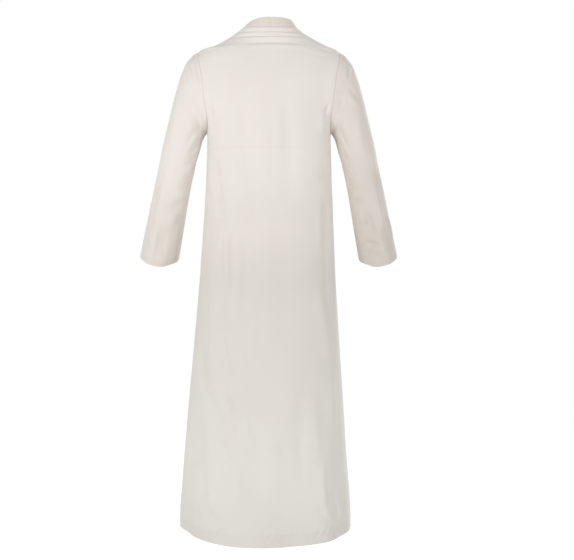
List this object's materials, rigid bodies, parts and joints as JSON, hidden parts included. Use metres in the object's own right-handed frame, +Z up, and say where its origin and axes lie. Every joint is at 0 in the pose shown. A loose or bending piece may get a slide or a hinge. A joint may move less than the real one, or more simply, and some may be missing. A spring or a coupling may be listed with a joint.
{
  "type": "qaba robe",
  "caption": "Long plain wrap-front robe with a narrow neck band and set-in sleeves, filled out as worn, open at neck, cuffs and hem.",
  "frame": {"origin": "on the middle line of the shoulders, level with the points where the neck seam crosses the shoulder seams: where the robe hangs on its wearer", "axes": "+Z up, +X to the wearer's left, +Y to the back: the wearer faces -Y"},
  "size_m": [0.754, 0.3661, 1.4532],
  "materials": {
    "cloth": "plain fine weave, soft low sheen, ivory",
    "button": "ivory, polished"
  },
  "bodies": {
    "root": {"back": "cloth", "front_left": "cloth", "front_right": "cloth", "sleeve_left": "cloth", "sleeve_right": "cloth", "neck_band_left": "cloth", "neck_band_right": "cloth", "front_button_upper": "button", "front_button_lower": "button"}
  },
  "joints": []
}
